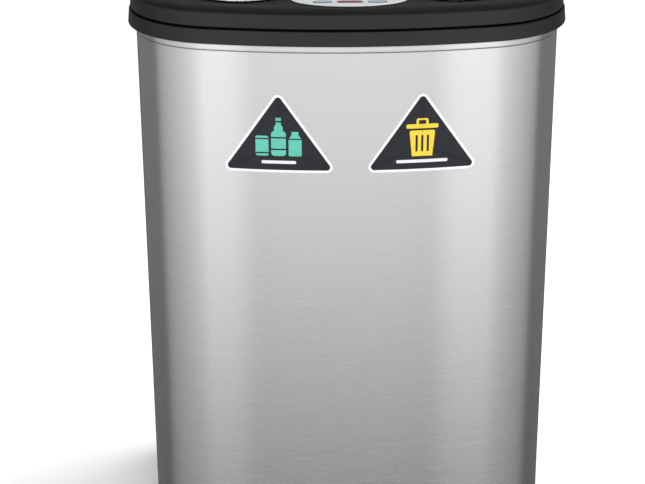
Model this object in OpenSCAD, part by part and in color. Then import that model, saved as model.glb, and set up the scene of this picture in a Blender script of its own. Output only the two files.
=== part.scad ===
/* [Body] */
// Width of the steel body
body_w = 500; // [440:1:600]
// Depth of the steel body from front to back
body_d = 325; // [300:1:390]
// Height of the collar's top, where the head rests
body_h = 688; // [560:1:830]
// Radius of the gently curved front
front_r = 715; // [600:1:1200]
// Radius of the two front corners
corner_r = 110; // [85:1:132]
// Radius of the two back corners
back_r = 45; // [36:1:60]
// Thickness of the steel sheet
sheet_t = 0.8; // [0.5:0.1:1.5]
// Height of the hem band under the collar
bead_h = 8.5; // [4:0.5:12]
// How far the hem band stands proud
bead_out = 1.2; // [0.5:0.1:2]

/* [Base and feet] */
// Thickness of the rubber feet
foot_h = 4; // [2:0.5:8]
// Radius of the rubber feet
foot_r = 14; // [8:0.5:20]
// Thickness of the base tray's floor
floor_t = 3; // [2:0.5:5]
// Height of the base tray's outer skirt above its floor
base_skirt_h = 15; // [8:1:30]

/* [Collar] */
// Height of the collar
collar_h = 17; // [12:0.5:30]
// How far the collar stands out from the steel
collar_out = 9.3; // [7:0.1:11]
// Thickness of the collar's top web
web_t = 4; // [3:0.5:6]
// How far the collar's web reaches inwards
web_in = 12; // [9:0.5:14]

/* [Head] */
// How far the head stands out from the steel
skirt_out = 6; // [4:0.1:7]
// Thickness of the moulded walls
wall = 3; // [2:0.1:3.6]
// Open line between the collar and the head
reveal = 2; // [1.5:0.1:3]
// Height of the deck above the collar
deck_rise = 24; // [20:0.5:30]
// Height of the rounded shoulder round the deck
shoulder_h = 7; // [3:0.5:8]
// Height of the rear housing above the deck
house_rise = 29; // [28:0.5:40]
// Distance from the hinge axis to the housing behind it
house_gap = 12; // [10:0.5:14]

/* [Lids] */
// Distance between the middles of the two lids
lid_pitch = 245; // [232:1:260]
// Width of a lid
lid_w = 160; // [130:1:166]
// Length of a lid's rounded nose
lid_nose = 112; // [80:1:120]
// Distance from the body's front to the tip of a lid
lid_inset = 34; // [30:0.5:50]
// Distance from the body's back to the hinge axis
hinge_back = 82.5; // [80:0.5:90]
// Height of the hinge axis above the deck
hinge_rise = 6.5; // [6:0.1:8]
// Radius of the lid's hinge barrel
barrel_r = 5.5; // [5:0.1:5.8]
// How far a lid laps over the rim of its opening
lid_lap = 8; // [6:0.5:10]
// Gap between a closed lid and the deck
lid_gap = 0.8; // [0.6:0.1:1.5]

/* [Controls] */
// Width of the control panel
panel_w = 134; // [120:1:136]
// Depth of the control panel
panel_d = 76; // [66:1:78]
// Distance from the body's front to the panel's edge
panel_inset = 8.5; // [7:0.5:12]
// Width of a push button
button_w = 21; // [14:0.5:24]
// Depth of a push button
button_d = 11; // [8:0.5:14]
// Distance between the two buttons
button_pitch = 62; // [56:1:70]
// Travel of a push button
button_travel = 1.2; // [0.8:0.1:1.6]
// Width of the sensor window
window_w = 30; // [24:0.5:30]

/* [Buckets] */
// Wall of a bucket
bucket_wall = 2; // [1.5:0.1:3]
// Clearance between a bucket's rim and the collar
bucket_gap = 3; // [2:0.5:5]
// Distance from the collar's top down to a bucket's rim
bucket_drop = 25; // [18:1:40]

/* [Power] */
// Diameter of a battery cell
cell_d = 33.2; // [26:0.1:34]
// Length of a battery cell
cell_l = 61; // [48:0.5:62]
// Angle between the two positions of the power switch
rocker_turn = 14; // [8:1:18]

/* [Labels] */
// Width of a triangular label
label_w = 125; // [90:1:130]
// Height of a triangular label
label_h = 93; // [70:1:110]
// Distance between the middles of the two labels
label_pitch = 165; // [140:1:176]
// Distance from the collar's top down to the labels' tips
label_drop = 75.5; // [60:0.5:120]
// Corner radius of a label
label_r = 7; // [3:0.5:10]

/* [Hidden] */

fit = 0.3;        // clearance between pieces that nest
run = 0.05;       // radial clearance of a running fit
over = 1;         // how far a cut passes a face, or a joined shape sinks in

// The D outline's arcs: a wide front, two large front corners, two small back corners
half_w = body_w / 2;
half_d = body_d / 2;
arc_y = front_r - half_d;
side_x = half_w - corner_r;
reach = front_r - corner_r;
corner_y = arc_y - sqrt(reach * reach - side_x * side_x);
back_x = half_w - back_r;
back_y = half_d - back_r;
turn = asin(side_x / reach);

// Heights
floor_z = foot_h + floor_t;
rib_t = 2;
rib_end = 30;
web_z = body_h - web_t;
collar_z = body_h - collar_h;
bead_top = collar_z - 0.5;
tray_top = floor_z + 2 * base_skirt_h;
seal_z = body_h + fit;
seal_t = 1;
plate_z = seal_z + seal_t;
plate_top = plate_z + wall;
skirt_z = body_h + reveal;
deck_z = body_h + deck_rise;
shoulder_z = deck_z - shoulder_h;
under_z = deck_z - wall;
house_z = deck_z + house_rise;
hinge_z = deck_z + hinge_rise;
lid_z = deck_z + lid_gap;

// Head
shoulder_in = 14;
shoulder_steps = 5;
hinge_y = half_d - hinge_back;
house_y = hinge_y + house_gap;
house_in = 2;
pod_half = 38;
pod_y = hinge_y - 18;
pod_z = house_z - 1;
lip_in = web_in + 0.5;
lip_z = body_h - 13;

// Lids
lid_x = lid_pitch / 2;
lid_half = lid_w / 2;
nose_y = lid_inset - half_d + lid_nose;
frame_t = 5.6;
barrel_in = pod_half + 1;
barrel_out = lid_x + lid_half + 1;
barrel_back = hinge_y - barrel_r - 1;
lug_w = 6;
lug_r = 6;
lug_in = barrel_out + 0.5;
lug_out = lug_in + lug_w;
lug_top = hinge_z + 2;
shaft_r = 3;
shaft_hold = 25;
pin_r = 2;
pin_hold = 15;
chute_wall = 2.5;
chute_z = body_h - 33;

// Controls
panel_y = panel_inset - half_d + panel_d / 2;
panel_t = 2;
button_y = panel_inset - half_d + 19;
button_cap = 3;
flange_lap = 1.5;
flange_t = 1.6;
flange_z = under_z - 0.4 - flange_t;
stem_z = flange_z - 0.7;
switch_h = 4.3;
board_top = stem_z - button_travel - fit - switch_h;
board_t = 1.6;
board_w = 108;
board_d = 40;
board_y = button_y + 14;
window_d = 10;
window_rise = 0.4;
board_holes = [[-48, -14], [48, -14], [-48, 14], [48, 14]];
board_screw_r = 1;
diode_r = 2.5;
diode_h = under_z - board_top - 2;
led_r = 1.5;

// Drive
gearbox_w = 30;
gearbox_in = 3;
gearbox_front = hinge_y - 12;
gearbox_back = house_y + 26;
gearbox_out = gearbox_in + gearbox_w;
motor_r = 10.5;
motor_l = 30;
motor_y = house_y + 15.5;

// Batteries and switch
box_wall = 1.5;
contact_t = 1;
cells_l = 4 * cell_l + 3 * fit;
box_half = cells_l / 2 + contact_t + 2 * fit + box_wall;
box_back = half_d - 6;
box_front = box_back - cell_d - 2 * box_wall - 2 * fit;
cell_y = (box_front + box_back) / 2;
cell_z = plate_top + box_wall + fit + cell_d / 2;
door_hinge_y = half_d - 12;
door_hinge_z = house_z + 2.5;
door_pin_r = 1.2;
door_barrel_r = 2.2;
door_lap = 4;
door_half = box_half + door_lap;
door_front = box_front - 2.5;
door_z = house_z + fit;
door_t = 3;
switch_x = half_w - back_r - 30;
switch_y = half_d - house_in;
switch_z = (deck_z + house_z) / 2 - 3;
rocker_w = 10;
rocker_h = 15;
rocker_d = 6;
socket_half = 7;
socket_h = 20;
bezel = 2;
bezel_t = 1.5;

// Fasteners
screw_r = 2;
screw_head = 2;
boss_hole = 8;
collar_leg = sheet_t + fit + wall;
collar_screw_l = collar_leg + 2;
collar_screw_z = collar_z + 4;
head_places = [
    [half_w - 28, hinge_y - 85], [half_w - 28, hinge_y - 10], [half_w - 100, hinge_y + 4],
    [28 - half_w, hinge_y - 85], [28 - half_w, hinge_y - 10], [100 - half_w, hinge_y + 4],
    [0, hinge_y - 35], [0, panel_inset - half_d + panel_d + 23]
];
foot_places = [[half_w - 60, half_d - 52], [60 - half_w, half_d - 52],
               [half_w - 100, 72 - half_d], [100 - half_w, 72 - half_d]];

// Points along an arc in n steps, with the first or last one left out where it meets another arc
function arc(x, y, r, from, to, n, first = 0, last = 0) = [for (i = [first:n - last])
    let (t = from + (to - from) * i / n) [x + r * cos(t), y + r * sin(t)]];

// The D outline, grown by off: front arc, front corner, two back corners, front corner
function d_points(off) = concat(
    arc(0, arc_y, front_r + off, 270 - turn, 270 + turn, 16),
    arc(side_x, corner_y, corner_r + off, 270 + turn, 360, 10, first = 1),
    arc(back_x, back_y, back_r + off, 0, 90, 8),
    arc(-back_x, back_y, back_r + off, 90, 180, 8),
    arc(-side_x, corner_y, corner_r + off, 180, 270 - turn, 10, last = 1));

module d_outline(off) {
    polygon(d_points(off));
}

// A slab with the D outline, grown by off, between two heights
module slab(off, z0, z1) {
    translate([0, 0, z0]) linear_extrude(z1 - z0) d_outline(off);
}

// A ring between two D outlines
module ring(outer, inner, z0, z1) {
    translate([0, 0, z0]) linear_extrude(z1 - z0) difference() {
        d_outline(outer);
        d_outline(inner);
    }
}

// A slab cut off along y, so that only its back part is left
module back_slab(off, front, z0, z1) {
    intersection() {
        slab(off, z0, z1);
        translate([-body_w, front, z0 - over]) cube([2 * body_w, body_d, z1 - z0 + 2 * over]);
    }
}

// One side's shape, given for +x, put on the left (-1) or the right (1)
module on_side(s) {
    mirror([s < 0 ? 1 : 0, 0, 0]) children();
}

module both_sides() {
    for (s = [-1, 1]) on_side(s) children();
}

module rod_x(r, x0, x1, y, z) {
    translate([x0, y, z]) rotate([0, 90, 0]) cylinder(r = r, h = x1 - x0, $fn = 48);
}

module block(low, high) {
    translate(low) cube(high - low);
}

// A screw that points up from z = 0, with its head below
module screw(r, length, head) {
    cylinder(r = r, h = length, $fn = 32);
    translate([0, 0, -head]) cylinder(r = 2 * r, h = head, $fn = 32);
}

// A flat shape with round ends, w long in x
module pill(w, d, z0, z1) {
    translate([0, 0, z0]) linear_extrude(z1 - z0) {
        square([w - d, d], center = true);
        for (s = [-1, 1]) translate([s * (w - d) / 2, 0]) circle(d / 2, $fn = 48);
    }
}

// A lid's outline: straight back and sides, and half an ellipse for the nose
module lid_outline(inset, back) {
    a = lid_half - inset;
    b = lid_nose - inset;
    polygon(concat([for (t = [180:5:360]) [a * cos(t), nose_y + b * sin(t)]], [[a, back], [-a, back]]));
}

module lid_slab(inset, back, z0, z1) {
    translate([lid_x, 0, z0]) linear_extrude(z1 - z0) lid_outline(inset, back);
}

// Screws that hold the collar's inner leg to the steel, head inwards
module collar_places() {
    for (s = [-1, 1]) {
        for (y = [back_y - 95, back_y - 15])
            translate([s * (half_w - collar_leg), y, collar_screw_z]) rotate([0, s * 90, 0]) children();
        translate([s * (back_x - 85), half_d - collar_leg, collar_screw_z]) rotate([-90, 0, 0]) children();
    }
    // The front is curved, so a flat screw head there stands a little off the leg
    translate([0, collar_leg + fit - half_d, collar_screw_z]) rotate([90, 0, 0]) children();
}

module body_shell() color("silver") {
    difference() {
        union() {
            ring(0, -sheet_t, floor_z, web_z);
            ring(bead_out, -sheet_t / 2, bead_top - bead_h, bead_top);
        }
        collar_places() cylinder(r = screw_r + run, h = collar_screw_l + over, $fn = 32);
    }
}

module base_tray() color("#1c1c1e") {
    difference() {
        slab(wall, foot_h, floor_z + base_skirt_h);
        slab(fit, floor_z, floor_z + base_skirt_h + over);
    }
    ring(-sheet_t - fit, -collar_leg, floor_z - over, tray_top);
    block([-rib_t / 2, rib_end - half_d, floor_z - over], [rib_t / 2, half_d - rib_end, tray_top]);
}

module rubber_feet() color("#2a2a2a") {
    for (p = foot_places) translate([p[0], p[1], 0]) cylinder(r = foot_r, h = foot_h, $fn = 64);
}

module collar_ring() color("#202022") {
    difference() {
        union() {
            difference() {
                slab(collar_out, collar_z, body_h);
                slab(collar_out - wall, collar_z - over, web_z);
                slab(-web_in, web_z - over, body_h + over);
            }
            ring(-sheet_t - fit, -collar_leg, collar_z - 4, web_z + over);
        }
        collar_places() translate([0, 0, -over])
            cylinder(r = screw_r + run, h = collar_screw_l + 2 * over, $fn = 32);
    }
}

module collar_screws() color("silver") {
    collar_places() screw(screw_r, collar_screw_l, screw_head);
}

// A triangle with round corners, standing in x and z, wrapped on the curved front
module label(s) color("#101820") {
    top = body_h - label_drop - label_r;
    low = body_h - label_drop - label_h + label_r;
    side = label_w / 2 - label_r;
    normal = 90 - atan2(top - low, side);
    middle = s * label_pitch / 2;
    intersection() {
        translate([0, 0, low - 2 * label_r]) linear_extrude(label_h + 4 * label_r) intersection() {
            difference() {
                translate([0, arc_y]) circle(front_r + run + 0.3, $fn = 360);
                translate([0, arc_y]) circle(front_r + run, $fn = 360);
            }
            translate([middle - label_w, -half_d - over]) square([2 * label_w, half_d]);
        }
        translate([middle, 0, 0]) rotate([90, 0, 0]) linear_extrude(body_d)
            polygon(concat(
                arc(side, low, label_r, -90, normal, 6),
                arc(0, top, label_r, normal, 180 - normal, 6),
                arc(-side, low, label_r, 180 - normal, 270, 6)));
    }
}

// Half of the D, right of a line at x = gap
module half_slab(off, gap, z0, z1) {
    translate([0, 0, z0]) linear_extrude(z1 - z0) intersection() {
        d_outline(off);
        translate([gap, -body_d]) square([body_w, 2 * body_d]);
    }
}

module bucket(s) color("#3a3c40") {
    rim_off = -web_in - bucket_gap;
    rim_h = 6;
    gap = 3;
    low = floor_z + fit;
    top = body_h - bucket_drop;
    on_side(s) difference() {
        union() {
            half_slab(rim_off - bucket_wall, gap + bucket_wall, low, top);
            half_slab(rim_off, gap, top - rim_h, top);
        }
        half_slab(rim_off - 2 * bucket_wall, gap + 2 * bucket_wall, low + bucket_wall, top + over);
    }
}

module head_shape() {
    slab(skirt_out, skirt_z, shoulder_z);
    for (i = [1:shoulder_steps]) {
        u = i / shoulder_steps;
        slab(skirt_out - shoulder_in * (1 - sqrt(1 - u * u * 0.98)), shoulder_z - over,
             shoulder_z + shoulder_h * u);
    }
    back_slab(-house_in, house_y, shoulder_z - over, house_z - 3);
    back_slab(-house_in - 2, house_y + 2, house_z - 4, house_z - 1);
    back_slab(-house_in - 4.5, house_y + 4.5, house_z - 4, house_z);
    block([-pod_half, pod_y, under_z], [pod_half, house_y + 10, pod_z]);
}

module head_hollow() {
    slab(skirt_out - wall, skirt_z - over, shoulder_z - 2);
    slab(skirt_out - shoulder_in - wall, shoulder_z - 2 - over, under_z);
    back_slab(-house_in - wall, house_y + wall, shoulder_z - 2 - over, house_z - 3 - wall);
    back_slab(-house_in - 2 - wall, house_y + 2 + wall, under_z - over, house_z - wall);
    block([-pod_half + wall, pod_y + wall, under_z - over], [pod_half - wall, house_y + 12, pod_z - wall]);
}

module button_places() {
    for (s = [-1, 1]) translate([s * button_pitch / 2, button_y, 0]) children();
}

// Openings for the two buttons and the sensor window
module control_holes(z0, z1) {
    button_places() pill(button_w + 2 * fit, button_d + 2 * fit, z0, z1);
    translate([0, button_y, 0]) pill(window_w + 2 * fit, window_d + 2 * fit, z0, z1);
}

// A cylinder at each head screw
module head_rods(r, z0, z1) {
    for (p = head_places) translate([p[0], p[1], z0]) cylinder(r = r, h = z1 - z0, $fn = 32);
}

// A cylinder at each corner of the circuit board
module board_rods(r, z0, z1) {
    for (p = board_holes) translate([p[0], board_y + p[1], z0]) cylinder(r = r, h = z1 - z0, $fn = 32);
}

// Lugs that carry the lids' outer pins and the battery door's pins
module hinge_lugs() {
    block([lug_in, hinge_y - lug_r, under_z], [lug_out, hinge_y + lug_r, lug_top]);
    rod_x(lug_r, lug_in, lug_out, hinge_y, hinge_z);
    block([door_half + 0.5, door_hinge_y - 2.5, house_z - 2],
          [door_half + 5, door_hinge_y + 2.5, door_hinge_z + door_barrel_r]);
}

module head_cover() color("#1e1e20") {
    door_out = box_half + fit;
    difference() {
        union() {
            difference() {
                head_shape();
                head_hollow();
            }
            both_sides() hinge_lugs();
            head_rods(2 * screw_r, plate_top, under_z + over);
            board_rods(3 * board_screw_r, board_top, under_z + over);
        }
        both_sides() {
            lid_slab(lid_lap, hinge_y - lid_lap, under_z - over, deck_z + over);
            rod_x(pin_r + run, barrel_out - over, lug_out + over, hinge_y, hinge_z);
            rod_x(shaft_r + run, pod_half - wall - over, pod_half + over, hinge_y, hinge_z);
            rod_x(door_pin_r + run, door_half, door_half + door_lap, door_hinge_y, door_hinge_z);
        }
        control_holes(under_z - over, deck_z + over);
        block([-door_out, door_front + 3, house_z - wall - over],
              [door_out, door_hinge_y - door_lap, house_z + over]);
        block([switch_x - socket_half, switch_y - wall - over, switch_z - socket_h / 2],
              [switch_x + socket_half, switch_y + over, switch_z + socket_h / 2]);
        head_rods(screw_r + run, plate_top - over, plate_top + boss_hole);
        board_rods(board_screw_r + run, board_top - over, board_top + 6);
    }
}

module head_base() color("#2b2b2e") {
    difference() {
        union() {
            slab(skirt_out - wall - fit, plate_z, plate_top);
            ring(-lip_in, -lip_in - chute_wall, lip_z, plate_z + over);
            both_sides() lid_slab(lid_lap, hinge_y - lid_lap, chute_z, under_z - fit);
        }
        both_sides()
            lid_slab(lid_lap + chute_wall, hinge_y - lid_lap - chute_wall, chute_z - over, under_z + over);
        head_rods(screw_r + 0.2, plate_z - over, plate_top + over);
    }
}

module seal() color("#444444") {
    ring(-0.5, -9, seal_z, plate_z);
}

module head_screws() color("silver") {
    for (p = head_places) translate([p[0], p[1], plate_z])
        screw(screw_r, wall + boss_hole - over, screw_head);
}

module lid_bumpers() color("#555555") {
    edge = lid_lap / 2;
    for (s = [-1, 1]) for (t = [245, 295])
        translate([s * lid_x + (lid_half - edge) * cos(t), nose_y + (lid_nose - edge) * sin(t), deck_z])
            cylinder(r = 2.5, h = lid_gap - 0.2, $fn = 32);
}

module control_panel() color("gainsboro") {
    difference() {
        translate([0, panel_y, deck_z]) linear_extrude(panel_t)
            polygon([for (t = [0:5:355]) [panel_w / 2 * cos(t), panel_d / 2 * sin(t)]]);
        control_holes(deck_z - over, deck_z + panel_t + over);
    }
}

module sensor_window() color("darkred") {
    translate([0, button_y, 0]) pill(window_w, window_d, under_z + 1, deck_z + panel_t + window_rise);
}

module button(s) color("lightslategray") {
    translate([s * button_pitch / 2, button_y, 0]) {
        pill(button_w, button_d, flange_z, deck_z + button_cap);
        pill(button_w + 2 * flange_lap, button_d + 2 * flange_lap, flange_z, flange_z + flange_t);
        translate([0, 0, stem_z]) cylinder(r = 2.5, h = 2, $fn = 32);
    }
}

module circuit_board() color("darkgreen") {
    difference() {
        block([-board_w / 2, board_y - board_d / 2, board_top - board_t],
              [board_w / 2, board_y + board_d / 2, board_top]);
        board_rods(board_screw_r + 0.2, board_top - board_t - over, board_top + over);
    }
}

module board_screws() color("silver") {
    for (p = board_holes) translate([p[0], board_y + p[1], board_top - board_t])
        screw(board_screw_r, board_t + 5, 1.5);
}

module tact_switches() color("#333333") {
    button_places() {
        block([-3, -3, board_top], [3, 3, board_top + switch_h - 0.8]);
        translate([0, 0, board_top + switch_h - over]) cylinder(r = 1.75, h = over, $fn = 32);
    }
}

module sensor_diodes() color("indigo") {
    for (s = [-1, 1]) translate([s * 5, button_y, board_top]) {
        cylinder(r = diode_r, h = diode_h, $fn = 32);
        translate([0, 0, diode_h]) sphere(r = diode_r, $fn = 32);
    }
}

module status_leds() color("limegreen") {
    for (s = [-1, 1]) translate([s * 11, button_y, board_top])
        cylinder(r = led_r, h = under_z - board_top, $fn = 32);
}

module gearbox(s) color("#c8c4b4") {
    on_side(s) difference() {
        union() {
            block([gearbox_in, gearbox_front, plate_top], [gearbox_out, gearbox_back, hinge_z + 12]);
            rod_x(2 * shaft_r, gearbox_out - over, pod_half - wall - 0.5, hinge_y, hinge_z);
        }
        rod_x(shaft_r + run, gearbox_out - 12, gearbox_out + 3, hinge_y, hinge_z);
    }
}

module motor(s) color("silver") {
    end = gearbox_out + motor_l;
    on_side(s) {
        rod_x(motor_r, gearbox_out, end, motor_y, hinge_z);
        rod_x(3, end - over, end + 2.5, motor_y, hinge_z);
    }
}

module hinge_pin(s) color("silver") {
    on_side(s) rod_x(pin_r, barrel_out - pin_hold, lug_out, hinge_y, hinge_z);
}

module drive_shaft(s) color("silver") {
    on_side(s) rod_x(shaft_r, gearbox_out - 11, barrel_in + shaft_hold, hinge_y, hinge_z);
}

module lid_frame(s) color("#1e1e20") {
    on_side(s) difference() {
        union() {
            difference() {
                lid_slab(sheet_t + fit, hinge_y, lid_z, lid_z + frame_t);
                lid_slab(sheet_t + fit + wall, hinge_y - 10, lid_z + 2, lid_z + frame_t + over);
            }
            rod_x(barrel_r, barrel_in, barrel_out, hinge_y, hinge_z);
        }
        rod_x(shaft_r + run, barrel_in - over, barrel_in + shaft_hold + over, hinge_y, hinge_z);
        rod_x(pin_r + run, barrel_out - pin_hold - over, barrel_out + over, hinge_y, hinge_z);
    }
}

module lid_plate(s) color("gainsboro") {
    on_side(s) difference() {
        lid_slab(0, barrel_back, lid_z + 0.5, lid_z + frame_t + fit + sheet_t);
        lid_slab(sheet_t, barrel_back + over, lid_z - over, lid_z + frame_t + fit);
    }
}

module battery_box() color("#2b2b2e") {
    difference() {
        block([-box_half, box_front, plate_top], [box_half, box_back, cell_z + 4]);
        block([-box_half + box_wall, box_front + box_wall, plate_top + box_wall],
              [box_half - box_wall, box_back - box_wall, cell_z + 5]);
    }
}

module battery_cells() color("darkgoldenrod") {
    for (i = [0:3]) {
        start = -cells_l / 2 + i * (cell_l + fit);
        rod_x(cell_d / 2, start, start + cell_l - 1.5, cell_y, cell_z);
        rod_x(5, start + cell_l - 2.5, start + cell_l, cell_y, cell_z);
    }
}

module battery_contacts() color("silver") {
    both_sides() block([cells_l / 2 + fit, cell_y - 8, plate_top + box_wall + fit],
                       [cells_l / 2 + fit + contact_t, cell_y + 8, cell_z + 4]);
}

module battery_door() color("#1e1e20") {
    difference() {
        union() {
            block([-door_half, door_front, door_z], [door_half, door_hinge_y, door_z + door_t]);
            block([fit - box_half, door_front + 5, house_z - 2],
                  [box_half - fit, door_hinge_y - 6, door_z + over]);
            rod_x(door_barrel_r, -door_half, door_half, door_hinge_y, door_hinge_z);
            both_sides() rod_x(door_pin_r, door_half - over, door_half + 3.5, door_hinge_y, door_hinge_z);
        }
        block([2 - box_half, door_front + 7, house_z - 3], [box_half - 2, door_hinge_y - 8, door_z]);
    }
}

module switch_frame() color("#151515") {
    flange_half = socket_half + bezel;
    flange_h = socket_h + 2 * bezel;
    translate([switch_x, switch_y, switch_z]) difference() {
        union() {
            block([-flange_half, 0, -flange_h / 2], [flange_half, bezel_t, flange_h / 2]);
            block([fit - socket_half, -12, fit - socket_h / 2],
                  [socket_half - fit, over, socket_h / 2 - fit]);
        }
        block([-rocker_w / 2 - 0.5, -4.6, -rocker_h / 2 - 1.2], [rocker_w / 2 + 0.5, 3, rocker_h / 2 + 1.2]);
        rod_x(1 + run, -rocker_w / 2 - 1.5, rocker_w / 2 + 1.5, 0, 0);
    }
}

module power_switch() color("#7a1010") {
    translate([switch_x, switch_y, switch_z]) rotate([rocker_turn / 2, 0, 0]) {
        block([-rocker_w / 2, -rocker_d / 2, -rocker_h / 2], [rocker_w / 2, rocker_d / 2, rocker_h / 2]);
        rod_x(1, -rocker_w / 2 - 1.2, rocker_w / 2 + 1.2, 0, 0);
    }
}

body_shell();
base_tray();
rubber_feet();
collar_ring();
collar_screws();
label(-1);  // label_left
label(1);  // label_right
bucket(-1);  // bucket_left
bucket(1);  // bucket_right
head_cover();
head_base();
seal();
head_screws();
lid_bumpers();
control_panel();
sensor_window();
circuit_board();
board_screws();
tact_switches();
sensor_diodes();
status_leds();
gearbox(-1);  // gearbox_left
gearbox(1);  // gearbox_right
motor(-1);  // motor_left
motor(1);  // motor_right
hinge_pin(-1);  // hinge_pin_left
hinge_pin(1);  // hinge_pin_right
battery_box();
battery_cells();
battery_contacts();
switch_frame();
power_switch();
battery_door();
lid_plate(-1);  // lid_plate_left
lid_plate(1);  // lid_plate_right
lid_frame(-1);  // lid_frame_left
lid_frame(1);  // lid_frame_right
drive_shaft(-1);  // drive_shaft_left
drive_shaft(1);  // drive_shaft_right
button(-1);  // button_left
button(1);  // button_right
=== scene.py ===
# %% [markdown]
# # A two-compartment sensor bin
# The bin is a D-shaped sleeve of brushed steel with a black moulded collar and a black head. The packed
# CAD model gives every place and every moving body. This script loads it as a fixed frame, and puts
# smooth, finished surfaces on the bodies.

import bmesh
import bpy
import numpy as np
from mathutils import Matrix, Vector
from mathutils.geometry import tessellate_polygon


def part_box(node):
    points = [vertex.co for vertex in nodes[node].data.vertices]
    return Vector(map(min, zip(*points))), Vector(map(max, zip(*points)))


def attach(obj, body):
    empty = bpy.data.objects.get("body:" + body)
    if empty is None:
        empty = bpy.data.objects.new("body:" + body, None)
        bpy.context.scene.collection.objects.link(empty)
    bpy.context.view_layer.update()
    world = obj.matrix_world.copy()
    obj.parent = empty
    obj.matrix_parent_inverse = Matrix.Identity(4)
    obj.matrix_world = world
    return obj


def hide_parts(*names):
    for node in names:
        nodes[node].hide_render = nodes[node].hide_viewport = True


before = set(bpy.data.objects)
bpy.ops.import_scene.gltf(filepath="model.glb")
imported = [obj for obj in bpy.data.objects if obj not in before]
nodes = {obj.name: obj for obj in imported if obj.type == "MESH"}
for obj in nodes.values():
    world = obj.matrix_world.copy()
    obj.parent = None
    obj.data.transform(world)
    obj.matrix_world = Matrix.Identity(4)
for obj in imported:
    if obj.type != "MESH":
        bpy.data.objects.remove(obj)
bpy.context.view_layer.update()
scene = bpy.context.scene

# %% [markdown]
# ## The camera
# The bin is looked at from a little above, with a long lens. The lens axis passes a little to the right
# of the picture's middle, which a small sideways shift gives.

# %% Camera
MM = 0.001  # a millimetre in metres
camera_data = bpy.data.cameras.new("camera")
camera = bpy.data.objects.new("camera", camera_data)
scene.collection.objects.link(camera)
camera.location = (-0.0587, -1.9672, 1.1553)
camera.rotation_euler = (np.radians(68.22), 0, -0.030)
camera_data.sensor_width = 36
camera_data.lens = 92.6
camera_data.shift_x = -0.0374
scene.camera = camera
print("camera", camera_data.lens, "mm lens")

# %% [markdown]
# ## Sizes
# Heights and widths come from the CAD nodes' boxes. Only the radii of the D outline are stated here,
# because a box can't give them.

# %% Sizes read from the frame
shell_low, shell_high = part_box("body_shell")
collar_low, collar_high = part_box("collar_ring")
cover_low, cover_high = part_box("head_cover")
tray_low, tray_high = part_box("base_tray")
plate_low, plate_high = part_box("lid_plate_left")
panel_low, panel_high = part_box("control_panel")
window_low, window_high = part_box("sensor_window")
door_low, door_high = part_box("battery_door")
pin_low, pin_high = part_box("hinge_pin_right")

BEAD = 1.2 * MM
BAND_H = 8.5 * MM
BAND_LOW = collar_low.z + 3.5 * MM - BAND_H
HALF_W = shell_high.x - BEAD
HALF_D = shell_high.y - BEAD
FRONT_R = 715 * MM
CORNER_R = 110 * MM
BACK_R = 45 * MM
SHEET = 0.8 * MM
WALL = 3 * MM
COLLAR_OUT = collar_high.x - HALF_W
SKIRT_OUT = cover_high.x - HALF_W
ARC_Y = FRONT_R - HALF_D
DECK_Z = panel_low.z
HINGE_Y = (pin_low.y + pin_high.y) / 2
HINGE_Z = (pin_low.z + pin_high.z) / 2
HOUSE_Z = door_low.z + 2 * MM
LID_X = -(plate_low.x + plate_high.x) / 2
LID_HALF = (plate_high.x - plate_low.x) / 2
print("half width", HALF_W, "half depth", HALF_D, "deck", DECK_Z, "hinge", HINGE_Y, HINGE_Z)

# %% [markdown]
# ## Surfaces as arrays
# Each shape is a grid of points worked out with numpy. A profile carried round an outline makes a ring,
# and rows that shrink to a middle point make a cap. One function turns the grid into a mesh.


# %% Outlines
def arc(middle, radius, start, stop, count):
    """Points on a circle: middle + radius * (cos, sin), from one angle to another, the last left out."""
    angle = np.radians(np.linspace(start, stop, count, endpoint=False))
    return np.array(middle) + radius * np.stack([np.cos(angle), np.sin(angle)], 1)


def line(start, stop, count):
    """Evenly spaced points from start to stop, the last left out."""
    share = np.linspace(0, 1, count, endpoint=False)[:, None]
    return np.array(start) * (1 - share) + np.array(stop) * share


def d_outline(off=0.0):
    """The D, grown by off: a wide front arc, four blends, two straight sides and a straight back."""
    side = HALF_W - CORNER_R
    reach = FRONT_R - CORNER_R
    turn = np.degrees(np.arcsin(side / reach))
    corner_y = ARC_Y - np.sqrt(reach**2 - side**2)
    back_x, back_y = HALF_W - BACK_R, HALF_D - BACK_R
    return np.concatenate([
        arc((0, ARC_Y), FRONT_R + off, 270 - turn, 270 + turn, 72),
        arc((side, corner_y), CORNER_R + off, 270 + turn, 360, 40),
        line((HALF_W + off, corner_y), (HALF_W + off, back_y), 10),
        arc((back_x, back_y), BACK_R + off, 0, 90, 24),
        line((back_x, HALF_D + off), (-back_x, HALF_D + off), 24),
        arc((-back_x, back_y), BACK_R + off, 90, 180, 24),
        line((-HALF_W - off, back_y), (-HALF_W - off, corner_y), 10),
        arc((-side, corner_y), CORNER_R + off, 180, 270 - turn, 40),
    ])


def rounded(points, radii, count=8):
    """A closed outline whose corners are rounded by arcs tangent to both sides."""
    points = [np.array(p, float) for p in points]
    out = []
    for i, corner in enumerate(points):
        before, after = points[i - 1] - corner, points[(i + 1) % len(points)] - corner
        before, after = before / np.linalg.norm(before), after / np.linalg.norm(after)
        half = np.arccos(np.clip(before @ after, -1, 1)) / 2
        radius = radii[i] if np.ndim(radii) else radii
        middle = corner + (before + after) / np.linalg.norm(before + after) * radius / np.sin(half)
        start = corner + before * radius / np.tan(half) - middle
        stop = corner + after * radius / np.tan(half) - middle
        a0 = np.arctan2(start[1], start[0])
        sweep = (np.arctan2(stop[1], stop[0]) - a0 + np.pi) % (2 * np.pi) - np.pi
        angle = a0 + sweep * np.linspace(0, 1, count)
        out.append(middle + radius * np.stack([np.cos(angle), np.sin(angle)], 1))
    return np.concatenate(out)


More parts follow.
